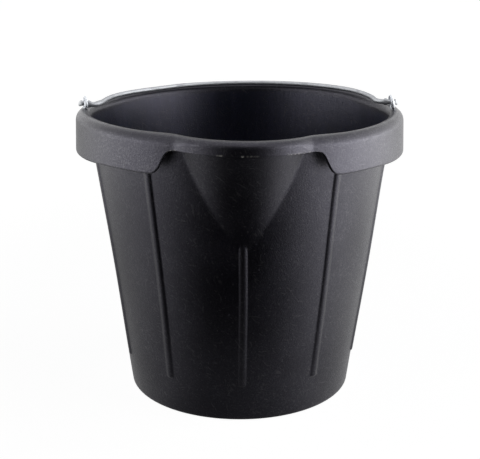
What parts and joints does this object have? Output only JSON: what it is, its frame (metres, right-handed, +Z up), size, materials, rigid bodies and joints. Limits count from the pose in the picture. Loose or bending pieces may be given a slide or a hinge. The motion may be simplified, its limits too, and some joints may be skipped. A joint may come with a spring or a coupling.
{
  "type": "rubber bucket",
  "caption": "Round tapered rubber bucket with a deep collar, a pouring lip at the front and a wire bail that swings in eye bolts.",
  "frame": {"origin": "centre of the flat underside, on the bucket's axis", "axes": "+Z up along the bucket's axis, the pouring lip faces -Y, the bail's hinge line is along X"},
  "size_m": [0.3318, 0.3429, 0.3042],
  "materials": {
    "black_rubber": "matte moulded black, slightly dusty",
    "galvanised_wire": "drawn and galvanised, bright",
    "zinc_plate": "bright zinc plate"
  },
  "bodies": {
    "bucket": {"bucket_body": "black_rubber", "left_eye_bolt": "zinc_plate", "right_eye_bolt": "zinc_plate", "left_washer": "zinc_plate", "right_washer": "zinc_plate", "left_nut": "zinc_plate", "right_nut": "zinc_plate"},
    "bail": {"bail_handle": "galvanised_wire"}
  },
  "joints": [
    {"name": "bail_swing", "type": "hinge", "parent": "bucket", "child": "bail", "pos_m": [0, 0, 0.297], "axis": [1, 0, 0], "range_deg": [0, 183]}
  ]
}
